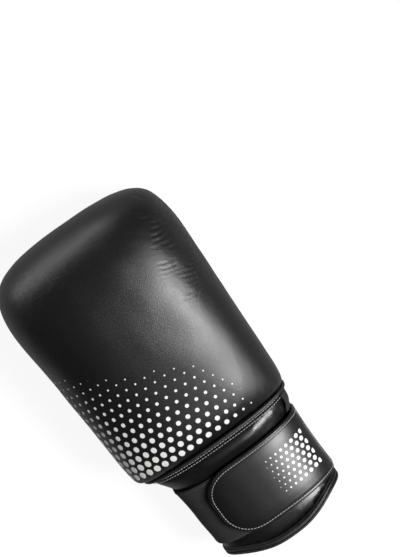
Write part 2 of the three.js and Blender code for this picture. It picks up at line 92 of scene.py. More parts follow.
# Creases of the pad: wrinkles by the thumb, gathers of the finger roll and the pull of the wrist's seam
WRINKLES = dict(pitch=0.0028, sharp=1.5)
WRINKLE_DEPTH = 0.0006
FANNED = dict(pitch=0.0021, sharp=2)
FANNED_DEPTH = 0.0008
GATHERS = dict(pitch=0.0037, sharp=2)
GATHER_DEPTH = 0.0009
SEAM_PULL = dict(pitch=0.0061, sharp=2)
SEAM_PULL_DEPTH = 0.0004
UNEVEN = 0.0004

# Printed dots: pitch along a row, largest radius as a share of it, and pitch as a share of two rows' height
PAD_DOT_PITCH = 0.0075
STRAP_DOT_PITCH = 0.0048
DOT_RADIUS = 0.36
ROW_SHARE = 0.5774

# Colours
BLACK = (0.0025, 0.0025, 0.0028)
WORN_BLACK = (0.005, 0.005, 0.0054)
INK = (0.62, 0.62, 0.61, 1)
WHITE = (1, 1, 1, 1)

# Wrist leather, a row per section at a share of REACH. left and right are shares of WRIST_HALF, flare is how
# far the sides have gone out to the pad, and under, over and edge are shares of WRIST_HEIGHT.
WRIST = [
    dict(at=-0.21, left=0.95, right=1.02, flare=0, under=0.03, over=0.965, edge=0.5),
    dict(at=-0.12, left=0.955, right=1.0, flare=0, under=0.02, over=0.985, edge=0.5),
    dict(at=0.0, left=0.985, right=0.985, flare=0, under=0.02, over=1.0, edge=0.5),
    dict(at=0.11, left=0.985, right=0.985, flare=0.16, under=0.02, over=1.0, edge=0.5),
    dict(at=0.145, left=0.985, right=0.985, flare=0.47, under=0.07, over=1.02, edge=0.47),
    dict(at=0.175, left=0.985, right=0.985, flare=0.78, under=0.11, over=1.02, edge=0.37),
    dict(at=0.2, left=0.985, right=0.985, flare=1, under=0.15, over=1.005, edge=0.29),
]
FLARED_LEFT = 0.79 * PAD_HALF
FLARED_RIGHT = 0.845 * PAD_HALF

# Palm leather beyond the wrist, at shares of REACH, in shares of PAD_HALF and PAD_HEIGHT.
PALM = [
    dict(at=0.2, left=0.7, right=0.72, middle=0.1, edge=0.21),
    dict(at=0.235, left=0.775, right=0.79, middle=0.13, edge=0.18),
    dict(at=0.3, left=0.8, right=0.81, middle=0.155, edge=0.192),
    dict(at=0.42, left=0.81, right=0.825, middle=0.175, edge=0.192),
    dict(at=0.53, left=0.825, right=0.835, middle=0.168, edge=0.185),
    dict(at=0.65, left=0.845, right=0.845, middle=0.125, edge=0.155),
    dict(at=0.785, left=0.87, right=0.85, middle=0.07, edge=0.11),
]

# Folds of the palm leather. Points are shares of PAD_HALF and REACH, heights and widths are metres.
FOLDS = [
    dict(start=(0.86, 0.476), past=(0.07, 0.443), end=(-0.785, 0.296), height=0.0036, width=0.006),
    dict(start=(0.44, 0.425), past=(-0.22, 0.36), end=(-0.65, 0.222), height=0.0022, width=0.005),
    dict(start=(-0.68, 0.277), past=(-0.56, 0.222), end=(-0.53, 0.152), height=0.0034, width=0.007),
    dict(start=(-0.4, 0.13), past=(-0.33, 0.286), end=(-0.06, 0.166), height=0.0026, width=0.0045),
    dict(start=(0.24, 0.259), past=(0.3, 0.194), end=(0.27, 0.125), height=0.0022, width=0.005),
    dict(start=(0.5, 0.203), past=(0.44, 0.166), end=(0.46, 0.125), height=0.0018, width=0.004),
]

# Thumb sleeve from its root to its open end, in shares of PAD_HALF, REACH and PAD_HEIGHT.
THUMB = [
    dict(at=0, x=0.645, y=0.329, z=0.286, long=0.125, high=0.13, slant=0.1, lean=0.6),
    dict(at=1, x=0.705, y=0.343, z=0.247, long=0.111, high=0.143, slant=-0.1, lean=0.35),
    dict(at=2, x=0.76, y=0.354, z=0.214, long=0.097, high=0.153, slant=-0.28, lean=0.12),
    dict(at=3, x=0.81, y=0.361, z=0.195, long=0.086, high=0.158, slant=-0.4, lean=0),
]
THUMB_DEPTH = 0.009
THUMB_HEM = 0.0008
THUMB_HEM_WIDTH = 0.007


def power(value, exponent):
    return np.sign(value) * np.abs(value) ** exponent


def ease(t):
    t = np.clip(t, 0, 1)
    return t * t * (3 - 2 * t)


def mix(a, b, t):
    return a + (b - a) * t


def bell(value, middle, width):
    return np.exp(-(((value - middle) / width) ** 2))


def points(x, y, z):
    return np.stack(np.broadcast_arrays(x, y, z), axis=-1)


def full_turn(count):
    return np.linspace(0, 2 * math.pi, count, endpoint=False)


def column(table, key, at):
    """A column of a table at any places between its rows, without overshoot."""
    places = np.array([row["at"] for row in table], float)
    values = np.array([row[key] for row in table], float)
    slopes = np.diff(values) / np.diff(places)
    tangents = np.concatenate([slopes[:1], np.zeros(len(slopes) - 1), slopes[-1:]])
    before, after = slopes[:-1], slopes[1:]
    rising = before * after > 0
    total = np.where(rising, before + after, 1)
    tangents[1:-1] = np.where(rising, 2 * before * after / total, 0)
    at = np.clip(at, places[0], places[-1])
    i = np.clip(np.searchsorted(places, at, side="right") - 1, 0, len(places) - 2)
    span = places[i + 1] - places[i]
    t = (at - places[i]) / span
    return (
        values[i] * (1 + 2 * t) * (1 - t) ** 2
        + values[i + 1] * t * t * (3 - 2 * t)
        + span * (tangents[i] * t * (1 - t) ** 2 + tangents[i + 1] * t * t * (t - 1))
    )


# Surfaces


def wrist_point(y, angle, out):
    """The wrist's outer leather at an angle up from the thumb side, out metres outside it."""
    at = y / REACH
    under = column(WRIST, "under", at) * WRIST_HEIGHT
    over = column(WRIST, "over", at) * WRIST_HEIGHT
    c, s = np.cos(angle), np.sin(angle)
    near = WRIST_HALF * np.where(c > 0, column(WRIST, "right", at), column(WRIST, "left", at))
    far = np.where(c > 0, FLARED_RIGHT - WRIST_SHIFT, FLARED_LEFT + WRIST_SHIFT)
    x = WRIST_SHIFT + power(c, 0.8) * (mix(near, far, column(WRIST, "flare", at)) + out)
    z = (under + over) / 2 + power(s, 0.8) * ((over - under) / 2 + out)
    return points(x, y, np.maximum(z, FLOOR_LIFT - np.maximum(out, 0)))


def edge_angle(y):
    """The angle at which the palm leather meets the padded panel on the back of the wrist."""
    at = y / REACH
    under = column(WRIST, "under", at) * WRIST_HEIGHT
    over = column(WRIST, "over", at) * WRIST_HEIGHT
    drop = (under + over) / 2 - column(WRIST, "edge", at) * WRIST_HEIGHT
    return -np.arcsin(np.clip(drop / ((over - under) / 2), 0, 1) ** 1.25)


def rim_y(angle):
    above = np.maximum(0, np.sin(angle)) ** 4.5
    below = np.maximum(0, -np.sin(angle)) ** 1.5
    return RIM_Y - RIM_ARC * (above + 0.7 * below)


def puff(y, angle):
    """How far the back panel bulges out beside the strap."""
    bulge = 0.0026 * bell(y, 0.0336, 0.0041) + 0.001 * bell(y, -0.031, 0.003)
    return bulge * np.maximum(0, np.sin(angle)) ** 0.5


def fold_height(x, y):
    total = np.zeros(np.shape(x))
    size = np.array([PAD_HALF, REACH])
    for fold in FOLDS:
        start, past, end = (np.array(fold[k]) * size for k in ("start", "past", "end"))
        nearest = np.full(np.shape(x), 1.0)
        along = np.zeros(np.shape(x))
        for t in np.linspace(0, 1, 33):
            spot = start * (1 - t) ** 2 + past * 2 * t * (1 - t) + end * t * t
            distance = np.hypot(x - spot[0], y - spot[1])
            along = np.where(distance < nearest, t, along)
            nearest = np.minimum(nearest, distance)
        ends = 0.35 + 0.65 * np.sin(math.pi * along)
        total += fold["height"] * ends * np.exp(-((nearest / fold["width"]) ** 2))
    return total


def palm_surface(u, v):
    """The palm leather's outer side, with its folds, from the wrist's rim to the grip roll."""
    rim = rim_y(mix(math.pi, 2 * math.pi, u)) - RIM_Y
    y = mix(RIM_Y + 0.0026 + rim, GRIP_Y - 0.0003, v)
    at = y / REACH
    left, right = -column(PALM, "left", at), column(PALM, "right", at)
    x = mix(left, right, 0.5 + 0.5 * power(np.sin((u - 0.5) * math.pi), 0.85)) * PAD_HALF
    side = (2 * u - 1) ** 4
    z = mix(column(PALM, "middle", at), column(PALM, "edge", at), side) * PAD_HEIGHT
    flat = points(x, y, z)
    low = edge_angle(np.minimum(y, SEAM_Y))
    around = mix(math.pi - low - PALM_TUCK, 2 * math.pi + low + PALM_TUCK, u)
    tucked = ease((np.abs(2 * u - 1) - 0.95) / 0.03)
    wrap = wrist_point(np.minimum(y, SEAM_Y), around, -0.0006 * tucked)
    blend = ease((y - SEAM_Y) / 0.009)
    p = mix(wrap, flat, blend[..., None])
    p[..., 1] = y
    sides = ease((1 - np.abs(2 * u - 1)) / 0.16)
    out = fold_height(p[..., 0], y) * ease((y - BAND_HALF - 0.005) / 0.006)
    out += small_creases(p[..., 0], y) * ease((y - BAND_HALF - 0.002) / 0.01)
    below = ease((-BAND_HALF - y) / 0.004)
    pucker = 0.0008 * np.sin(p[..., 0] / 0.0034 + 1.1 * np.sin(p[..., 0] / 0.0071)) * below
    p[..., 2] = np.maximum(p[..., 2] - (out - pucker) * sides, np.minimum(p[..., 2], 0.0008))
    return p


def small_creases(x, y):
    """Short creases across the main folds, as soft leather takes between them."""
    turn = 0.55
    along = x * math.cos(turn) + y * math.sin(turn)
    across = y * math.cos(turn) - x * math.sin(turn)
    wave = np.sin(across / 0.0031 + 2.2 * np.sin(along / 0.014))
    patch = 0.5 + 0.5 * np.sin(along / 0.011 + 1.3 * np.sin(across / 0.017))
    return 0.00045 * wave * patch


def thumb_ring(at, out, turn):
    size = {key: column(THUMB, key, at) for key in THUMB[0]}
    along = power(np.cos(turn), 0.88) * (size["long"] * REACH + out)
    up = power(np.sin(turn), 0.88) * (size["high"] * PAD_HEIGHT + out)
    return points(
        size["x"] * PAD_HALF + size["slant"] * along + size["lean"] * up,
        size["y"] * REACH + along,
        size["z"] * PAD_HEIGHT + up,
    )


# Mesh makers


def mesh_object(name, vertices, faces, edges=()):
    mesh = bpy.data.meshes.new(name)
    mesh.from_pydata(np.reshape(vertices, (-1, 3)).tolist(), list(edges), faces)
    obj = bpy.data.objects.new(name, mesh)
    bpy.context.scene.collection.objects.link(obj)
    return obj


def tidy_faces(obj, recalculate=True):
    """Merges the points that lie together and makes a closed mesh face outwards."""
    bm = bmesh.new()
    bm.from_mesh(obj.data)
    bmesh.ops.remove_doubles(bm, verts=bm.verts, dist=2e-6)
    bmesh.ops.dissolve_degenerate(bm, edges=bm.edges, dist=1e-7)
    if recalculate:
        bmesh.ops.recalc_face_normals(bm, faces=bm.faces)
    bm.to_mesh(obj.data)
    bm.free()
    return obj


def grid_faces(rows, columns, start=0, ring=False):
    faces = []
    for j in range(rows - 1):
        near = start + j * columns
        far = near + columns
        for i in range(columns if ring else columns - 1):
            k = (i + 1) % columns
            faces.append([near + i, near + k, far + k, far + i])
    return faces


def rounded_steps(count, length, radius):
    """Steps from 0 to 1 along a length, close together within a radius of both ends."""
    near = radius * (1 - np.cos(np.linspace(0, math.pi / 2, 5))) / length
    middle = np.linspace(near[-1], 1 - near[-1], count)
    return np.concatenate([near[:-1], middle, (1 - near[:-1])[::-1]])


def sheet(name, surface, thickness, counts, size, axis, groove=None):
    """A sheet inside surface(u, v) with round edges, its outer side away from the line at axis (x, z)."""
    across = rounded_steps(counts[0], size[0], thickness / 2)
    along = rounded_steps(counts[1], size[1], thickness / 2)
    u, v = np.meshgrid(across, along)
    outer = surface(u, v)
    normal = np.cross(
        np.gradient(outer, across, axis=1), np.gradient(outer, along, axis=0)
    )
    normal /= np.linalg.norm(normal, axis=-1, keepdims=True) + 1e-12
    away = outer - points(axis[0], outer[..., 1], axis[1])
    normal *= np.where((normal * away).sum(-1) < 0, -1, 1)[..., None]
    edge = np.minimum(np.minimum(u, 1 - u) * size[0], np.minimum(v, 1 - v) * size[1])
    half = thickness / 2
    swell = half * np.sqrt(1 - np.clip(1 - edge / half, 0, 1) ** 2)
    dent = groove(edge, u, v) if groove else 0 * edge
    top = outer - normal * (half - swell + dent * (edge > half))[..., None]
    under = outer - normal * (half + swell)[..., None]
    rows, columns = u.shape
    faces = grid_faces(rows, columns) + grid_faces(rows, columns, rows * columns)
    return tidy_faces(mesh_object(name, np.concatenate([top, under]), faces))


def lofted(name, rings, closed=False):
    """A surface through rings of points. An open one has both ends filled."""
    count, columns = rings.shape[:2]
    if closed:
        rings = np.concatenate([rings, rings[:1]])
        faces = grid_faces(count + 1, columns, ring=True)
    else:
        faces = grid_faces(count, columns, ring=True)
        faces += [list(range(columns)), list(range((count - 1) * columns, count * columns))]
    return tidy_faces(mesh_object(name, rings, faces))


def path_object(name, lines, closed=False):
    """Lines of points joined by edges, for a tree that follows them."""
    edges = []
    start = 0
    for line in lines:
        count = len(line)
        edges += [(start + i, start + i + 1) for i in range(count - 1)]
        if closed:
            edges.append((start + count - 1, start))
        start += count
    return mesh_object(name, np.concatenate(lines), [], edges)


def plain(obj):
    """Turns what an object's modifiers make into its own mesh."""
    graph = bpy.context.evaluated_depsgraph_get()
    made = bpy.data.meshes.new_from_object(obj.evaluated_get(graph))
    old = obj.data
    obj.modifiers.clear()
    obj.data = made
    made.name = obj.name
    bpy.data.meshes.remove(old)
    return obj


def read_vectors(items, key):
    flat = np.zeros(len(items) * 3, np.float32)
    items.foreach_get(key, flat)
    return flat.reshape(-1, 3).astype(float)


def read_points(mesh):
    return read_vectors(mesh.vertices, "co")


def read_normals(mesh):
    return read_vectors(mesh.vertex_normals, "vector")


def write_points(mesh, places):
    mesh.vertices.foreach_set("co", places.astype(np.float32).ravel())
    mesh.update()


def cut_with(obj, *tools):
    for tool in tools:
        cutter = obj.modifiers.new("cut", "BOOLEAN")
        cutter.operation = "DIFFERENCE"
        cutter.solver = "EXACT"
        cutter.object = tool
    plain(obj)
    for tool in tools:
        bpy.data.objects.remove(tool)
    return obj


# Padded pieces


def stuffed(name, node, voxel, inset, cap, smoothing, proud, crisp=lambda co: False):
    """A padded piece: a CAD solid remeshed, drawn in by inset and blown up as cloth by cap(points) at most.

    Its points then lie at most proud(points) outside the solid, and are smoothed unless crisp(co) holds."""
    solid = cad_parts[node]
    obj = bpy.data.objects.new(name, solid.data.copy())
    bpy.context.scene.collection.objects.link(obj)
    tidy_faces(obj, recalculate=False)
    remesh = obj.modifiers.new("remesh", "REMESH")
    remesh.mode = "VOXEL"
    remesh.voxel_size = voxel
    plain(obj)
    smooth_points(obj.data, 1)
    start = read_points(obj.data)
    start -= read_normals(obj.data) * inset
    write_points(obj.data, start)
    moved = blown_up(obj) - start
    distance = np.linalg.norm(moved, axis=1)
    limit = cap(start)
    moved *= np.minimum(1, limit / np.maximum(distance, 1e-9))[:, None]
    write_points(obj.data, start + moved)
    hold(obj, solid, proud)
    smooth_points(obj.data, smoothing, crisp)
    subdivide(obj, 1)
    return obj


def hold(obj, solid, proud, inside=0.0002, lowest=0.0003):
    """Keeps a mesh's points near a solid's surface and off the floor."""
    mesh = solid.data
    tree = BVHTree.FromPolygons([v.co for v in mesh.vertices], [f.vertices[:] for f in mesh.polygons])
    places = read_points(obj.data)
    for i, limit in enumerate(proud(places)):
        spot, normal, _, _ = tree.find_nearest(Vector(places[i]))
        offset = places[i] - np.array(spot)
        distance = np.linalg.norm(offset)
        if distance > 1e-7:
            side = 1 if offset @ np.array(normal) > 0 else -1
            wanted = min(max(side * distance, -inside), limit)
            places[i] = np.array(spot) + offset * (side * wanted / distance)
    places[:, 2] = np.maximum(places[:, 2], lowest)
    write_points(obj.data, places)


def blown_up(obj, pressure=4, frames=20):
    """Where the points of a closed mesh go when it is blown up as cloth."""
    cloth = obj.modifiers.new("cloth", "CLOTH")
    cloth.settings.use_pressure = True
    cloth.settings.uniform_pressure_force = pressure
    cloth.settings.effector_weights.gravity = 0
    scene = bpy.context.scene
    for number in range(frames):
        scene.frame_set(number + 1)
    graph = bpy.context.evaluated_depsgraph_get()
    made = read_points(obj.evaluated_get(graph).data)
    obj.modifiers.clear()
    scene.frame_set(1)
    return made


def smooth_points(mesh, times, crisp=lambda co: False):
    bm = bmesh.new()
    bm.from_mesh(mesh)
    chosen = [v for v in bm.verts if not crisp(v.co)]
    for _ in range(times):
        bmesh.ops.smooth_vert(
            bm, verts=chosen, factor=0.5, use_axis_x=True, use_axis_y=True, use_axis_z=True
        )
    bm.to_mesh(mesh)
    bm.free()


def subdivide(obj, levels):
    finer = obj.modifiers.new("finer", "SUBSURF")
    finer.levels = levels
    finer.render_levels = levels
    return plain(obj)


def refine(obj, chosen):
    """Halves the faces whose middle passes a test, for detail only where it shows."""
    bm = bmesh.new()
    bm.from_mesh(obj.data)
    faces = [f for f in bm.faces if chosen(f.calc_center_median(), f.normal)]
    edges = list({e for f in faces for e in f.edges})
    bmesh.ops.subdivide_edges(bm, edges=edges, cuts=1, use_grid_fill=True, smooth=0.3)
    bm.to_mesh(obj.data)
    bm.free()
    return obj


def knuckle_pad():
    def proud(p):
        return 0.0012 * ease((p[:, 1] - 0.046) / 0.01)

    def crisp(co):
        roll_edge = co.z < 0.011 and 0.164 < co.y < 0.174 and abs(co.x) < 0.053
        return co.y < 0.05 or roll_edge

    sizes = dict(voxel=0.0038, inset=0.0012, cap=lambda p: 0.0026, smoothing=5)
    obj = stuffed("knuckle_pad_leather", "knuckle_pad", **sizes, proud=proud, crisp=crisp)
    refine(obj, lambda p, n: p.y > 0.105 and (p.x > 0.015 or p.z < 0.03) and n.z < 0.985)
    p = read_points(obj.data)
    p += read_normals(obj.data) * pad_creases(p)[:, None]
    p[:, 2] = np.maximum(p[:, 2], 0.0003)
    write_points(obj.data, p)
    place_print(obj.data)
    return obj


def creases(place, pitch, sharp):
    """Narrow valleys across a line, from 0 between them to -1 in each."""
    return -((1 - np.abs(np.sin(place * math.pi / pitch))) ** sharp)


def pad_creases(p):
    """How far the wrinkles, the finger roll's gathers and the seam's pull move the pad's leather."""
    x, y, z = p[:, 0], p[:, 1], p[:, 2]
    rough = np.array([noise.noise(Vector(q) * 45) for q in p])
    patchy = np.array([noise.noise(Vector(q) * 110 + Vector((5, 0, 0))) for q in p])
    inward = 0.066 - x - 0.35 * np.maximum(0, y - 0.185)
    outside = ease((0.03 + 0.012 * rough + 0.006 * patchy - inward) / 0.022)
    stretch = ease((y - 0.108) / 0.03) * ease((0.213 - y) / 0.012)
    across = 0.59 * x + 0.81 * y + 0.3 * z + 0.0032 * rough + 0.0009 * patchy
    wrinkles = WRINKLE_DEPTH * ease(0.5 + 2.2 * patchy) * creases(across, **WRINKLES)
    wrinkles *= outside * stretch * ease((z - 0.022) / 0.024)
    beyond = np.abs(x) - 0.041
    corner = ease(beyond / 0.004)
    fan = np.arctan2(np.maximum(y - 0.166, 0), np.maximum(beyond, 0.0001))
    fanned = FANNED_DEPTH * creases(0.017 * fan + 0.0012 * rough, **FANNED) * corner
    fanned *= ease((0.036 - z) / 0.012) * ease((0.204 - y) / 0.02) * ease((y - 0.16) / 0.008)
    short = GATHER_DEPTH * creases(x + 0.0022 * rough, **GATHERS) * (1 - corner)
    short *= ease((0.0182 - z) / 0.006) * ease((y - 0.16) / 0.004)
    short *= ease((0.176 + 0.006 * patchy - y) / 0.006)
    pull = SEAM_PULL_DEPTH * creases(x + 0.0015 * rough, **SEAM_PULL)
    pull *= bell(y, 0.049, 0.006) * ease((z - 0.03) / 0.01)
    return wrinkles + fanned + short + pull + UNEVEN * rough * ease((z - 0.02) / 0.01)


def place_print(mesh):
    """Lays the print over the back of the pad, across its curve."""
    p = read_points(mesh)
    n = read_normals(mesh)
    rows = np.linspace(SEAM_Y + 0.004, 0.12, 24)
    crown = [p[np.abs(p[:, 1] - y) < 0.003, 2].max() for y in rows]
    drop = (np.interp(p[:, 1], rows, crown) - p[:, 2]) * ease(np.abs(p[:, 0]) / 0.03)
    across = p[:, 0] + 0.7 * np.sign(p[:, 0]) * drop
    outside = np.hypot(p[:, 0] / 0.053, (p[:, 2] - PAD_MIDDLE) / 0.023) > 1
    keep_print(mesh, across, p[:, 1], ease((p[:, 2] - 0.022) / 0.02) * (outside & (n[:, 2] > -0.1)))


def keep_print(mesh, across, along, share):
    """Keeps each point's place in a print, and how large the print may be there, from 0 to 1."""
    attribute = mesh.attributes.new("print_place", "FLOAT_VECTOR", "POINT")
    attribute.data.foreach_set("vector", points(across, along, share).astype(np.float32).ravel())


def cuff_back():
    def beside(p):
        return np.maximum(ease((p[:, 1] - 0.027) / 0.004), ease((-0.027 - p[:, 1]) / 0.003))

    def cap(p):
        return 0.0008 + 0.0012 * beside(p)

    def proud(p):
        return 0.0002 + 0.0008 * beside(p) * ease((0.04 - p[:, 1]) / 0.002)

    sizes = dict(voxel=0.0024, inset=0.0008, cap=cap, smoothing=2)
    return stuffed("cuff_back_leather", "cuff_back", **sizes, proud=proud)


def grip_roll(swell=0.0007, widen=1.02):
    def proud(p):
        return np.full(len(p), 0.0002)

    sizes = dict(voxel=0.0022, inset=0.0005, cap=lambda p: 0.0014, smoothing=1)
    obj = stuffed("grip_roll_leather", "grip_roll", **sizes, proud=proud)
    p = read_points(obj.data) + swell * read_normals(obj.data)
    p[:, 0] *= widen
    write_points(obj.data, p)
    return obj


# Flat pieces


def palm_panel():
    size = (PALM_WIDTH, PALM_LENGTH)
    panel = sheet("palm_leather", palm_surface, LEATHER, (110, 150), size, HAND_AXIS)
    turn = full_turn(40)
    rings = [thumb_ring(at, 0.00035, turn) for at in np.linspace(0, 3, 13)]
    cutter = lofted("thumb_cutter", np.array(rings))
    vent = [
        points(VENT_X + VENT_RADIUS * np.cos(turn), VENT_Y + VENT_RADIUS * np.sin(turn), z)
        for z in (0, 0.03)
    ]
    cut_with(panel, cutter, lofted("vent_cutter", np.array(vent)))
    return panel


def thumb_sleeve():
    turn = full_turn(72)
    ats = np.linspace(0, 3, 46)
    from_end = (3 - ats) / 3 * THUMB_DEPTH
    hem = THUMB_HEM * ease((THUMB_HEM_WIDTH - from_end) / 0.0006)
    outer = np.array([thumb_ring(a, h, turn) for a, h in zip(ats, hem)])
    inner = np.array([thumb_ring(a, -LEATHER, turn) for a in ats[::-1]])
    rounding = np.array([thumb_ring(3.0, THUMB_HEM * 0.3 - LEATHER * 0.5, turn)])
    rounding[..., 0] += 0.45 * LEATHER
    return lofted("thumb_leather", np.concatenate([outer, rounding, inner]), closed=True)


def lip_height(side, y):
    """Height of the lip's outer side. side runs from 0 in the middle to 1 at both ends."""
    share = np.clip((y - LIP_Y) / (ROLL_EDGE_Y - LIP_Y), 0, 1)
    tucked = 0.0016 * ease((y - ROLL_EDGE_Y + 0.001) / 0.003)
    return PAD_HEIGHT * (0.065 - 0.016 * np.sin(math.pi * share) + 0.052 * side**4) + tucked


def finger_lip():
    at = 0.765
    left, right = (column(PALM, key, at) * PAD_HALF for key in ("left", "right"))

    def surface(u, v):
        side = np.abs(2 * u - 1)
        y = mix(LIP_Y + 0.0002 + 0.0026 * side**10, ROLL_EDGE_Y + 0.0016, v)
        return points(mix(-left, right, u), y, lip_height(side, y))

    return sheet("finger_lip_leather", surface, LIP_THICK, (90, 14), (0.115, 0.0085), HAND_AXIS)


def strap_half(u):
    """Half the strap's width, which a round corner draws in at its free end."""
    near = np.maximum(0, STRAP_CORNER - (1 - u) * STRAP_REACH)
    return BAND_HALF - (STRAP_CORNER - np.sqrt(np.maximum(0, STRAP_CORNER**2 - near**2)))


def strap_point(u, across, out=0.0):
    angle = mix(STRAP_START, STRAP_END, u)
    lift = mix(LAYER_GAP, 2 * LAYER_GAP + LOOP_THICK, ease((angle - 0.1) / 0.4))
    return wrist_point(across, angle, lift + STRAP_THICK + out)


def wrist_strap():
    def groove(edge, u, v):
        return 0.0004 * bell(edge, STRAP_STITCH_IN, 0.0009) - 0.0003 * bell(edge, 0.009, 0.005)

    obj = sheet(
        "wrist_strap_leather",
        lambda u, v: strap_point(u, (2 * v - 1) * strap_half(u)),
        STRAP_THICK,
        (90, 60),
        (STRAP_REACH, 2 * BAND_HALF),
        WRIST_AXIS,
        groove,
    )
    p = read_points(obj.data)
    around = np.arctan2(p[:, 2] - WRIST_AXIS[1], p[:, 0] - WRIST_AXIS[0])
    keep_print(obj.data, around * WRIST_HALF, p[:, 1], np.ones(len(p)))
    return obj


def loop_patch():
    half = BAND_HALF - 0.0016

    def surface(u, v):
        y = mix(-half, half, v)
        return wrist_point(y, mix(0.55, math.pi + 0.04, u), LAYER_GAP + LOOP_THICK)

    def nap(edge, u, v):
        tuft = np.sin(u * 420) * np.sin(v * 190 + 1.7 * np.sin(u * 90))
        return 0.00012 * tuft * ease(edge / 0.003)

    size = (0.12, 2 * half)
    return sheet("loop_patch_cloth", surface, LOOP_THICK, (190, 90), size, WRIST_AXIS, nap)


def side_gusset():
    def surface(u, v):
        y = mix(BAND_HALF + 0.001, SEAM_Y - 0.0034, v)
        angle = mix(-0.28, 0.5, u)
        return wrist_point(y, angle, puff(y, angle) + LAYER_GAP + GUSSET_THICK)

    return sheet("side_gusset_cloth", surface, GUSSET_THICK, (40, 16), (0.03, 0.013), WRIST_AXIS)


def elastic_point(y, u, out=0.0):
    return wrist_point(y, mix(math.pi + 0.06, 2 * math.pi - 0.04, u), LAYER_GAP + BAND_THICK + out)


def elastic_band(rib=0.0003):
    """The web between the ribs, a rib's height inside them."""

    def surface(u, v):
        return elastic_point(mix(-BAND_HALF, BAND_HALF, v), u, -rib)

    size = (0.12, 2 * BAND_HALF)
    return sheet("elastic_band_web", surface, BAND_THICK - rib, (90, 16), size, WRIST_AXIS)


def elastic_ribs(count=58, radius=0.00055):
    y = np.linspace(-BAND_HALF + 0.0006, BAND_HALF - 0.0006, 9)
    lines = [elastic_point(y, u, -0.0004) for u in np.linspace(0.012, 0.988, count)]
    for line in lines:
        line[:, 2] = np.maximum(line[:, 2], radius + 0.0001)
    return swept("elastic_ribs_web", lines, radius, 6, elastic_web)


def seam_welt(radius=0.0014):
    y = SEAM_Y - 0.001
    low = float(edge_angle(np.array(y))) + 0.05
    line = wrist_point(y, np.linspace(low, math.pi - low, 90), 1.5 * radius)
    return swept("seam_welt_piping", [line], radius, 12, binding_tape)


def cuff_binding():
    """The tape that binds the wrist's edge, thicker round the padded back."""
    angle = full_turn(160)
    back = ease(np.sin(angle) * 3 + 0.5)
    depth = mix(LEATHER, 0.005, back) / 2
    turn = full_turn(20)
    rings = []
    for a, d in zip(angle, depth):
        middle = wrist_point(rim_y(a), a, -d)
        outward = wrist_point(rim_y(a), a, 0.001 - d) - middle
        outward /= np.linalg.norm(outward)
        ridge = 0.35 * bell(np.abs(np.sin(turn)), 0.0, 0.45)
        size = (d + 0.0007) * power(np.cos(turn), 0.7) * (1 - 0.3 * ridge)
        ring = middle + np.outer(size, outward)
        ring[:, 1] += np.where(np.sin(turn) > 0, 0.0036, 0.0022) * power(np.sin(turn), 0.8)
        rings.append(ring)
    return lofted("cuff_binding_tape", np.array(rings), closed=True)


def rim_ridges():
    """Two fine ridges that the binding's folds make."""
    angle = full_turn(160)
    back = ease(np.sin(angle) * 3 + 0.5)
    lines = []
    for shift in (-0.0012, 0.0014):
        line = wrist_point(rim_y(angle), angle, 0.0003 + 0.0002 * back)
        line[:, 1] += shift
        line[:, 2] = np.maximum(line[:, 2], 0.0012)
        lines.append(line)
    return swept("cuff_piping", lines, 0.0009, 10, binding_tape, closed=True)


def palm_piping():
    """Fine piping where the palm leather meets the pad's side walls."""
    lines = []
    for u, start in ((0.0, 0.52), (1.0, 0.77)):
        v = np.linspace(start, 0.985, 60)
        line = palm_surface(np.full_like(v, u), v)
        line[:, 2] -= 0.0004
        lines.append(line)
    return swept("palm_piping", lines, 0.0007, 8, binding_tape)


def vent_rim():
    turn = full_turn(40)
    radius = VENT_RADIUS + 0.0006
    x = VENT_X + radius * np.cos(turn)
    y = VENT_Y + radius * np.sin(turn)
    z = on_palm(x, y)
    return swept("vent_rim", [points(x, y, z - 0.0003)], 0.0009, 10, palm_leather, closed=True)


def on_palm(x, y):
    """Height of the palm leather's outer side under points of the palm."""
    v = (y - palm_surface(np.full_like(x, 0.5), np.zeros_like(x))[..., 1]) / PALM_LENGTH
    u = np.full_like(x, 0.5)
    for _ in range(12):
        p = palm_surface(u, v)
        u = np.clip(u + (x - p[..., 0]) / PALM_WIDTH, 0.01, 0.99)
        v = np.clip(v + (y - p[..., 1]) / PALM_LENGTH, 0, 1)
    return palm_surface(u, v)[..., 2]


# What follows a path


def new_tree(name, sizes):
    tree = bpy.data.node_groups.new(name, "GeometryNodeTree")
    tree.interface.new_socket("Geometry", in_out="INPUT", socket_type="NodeSocketGeometry")
    for size in sizes:
        tree.interface.new_socket(size, in_out="INPUT", socket_type="NodeSocketFloat")
    tree.interface.new_socket("Sides", in_out="INPUT", socket_type="NodeSocketInt")
    tree.interface.new_socket("Material", in_out="INPUT", socket_type="NodeSocketMaterial")
    tree.interface.new_socket("Geometry", in_out="OUTPUT", socket_type="NodeSocketGeometry")
    return tree


def put(tree, kind, settings=None, inputs=None):
    """A node with its settings and its inputs, each a value or another node's output."""
    node = tree.nodes.new(kind)
    for key, value in (settings or {}).items():
        setattr(node, key, value)
    for key, value in (inputs or {}).items():
        if isinstance(value, bpy.types.NodeSocket):
            tree.links.new(value, node.inputs[key])
        else:
            node.inputs[key].default_value = value
    return node


def finish_tree(tree, geometry, given):
    realized = put(tree, "GeometryNodeRealizeInstances", inputs={"Geometry": geometry})
    painted = put(
        tree,
        "GeometryNodeSetMaterial",
        inputs={"Geometry": realized.outputs[0], "Material": given.outputs["Material"]},
    )
    put(tree, "NodeGroupOutput", inputs={"Geometry": painted.outputs[0]})
    return tree


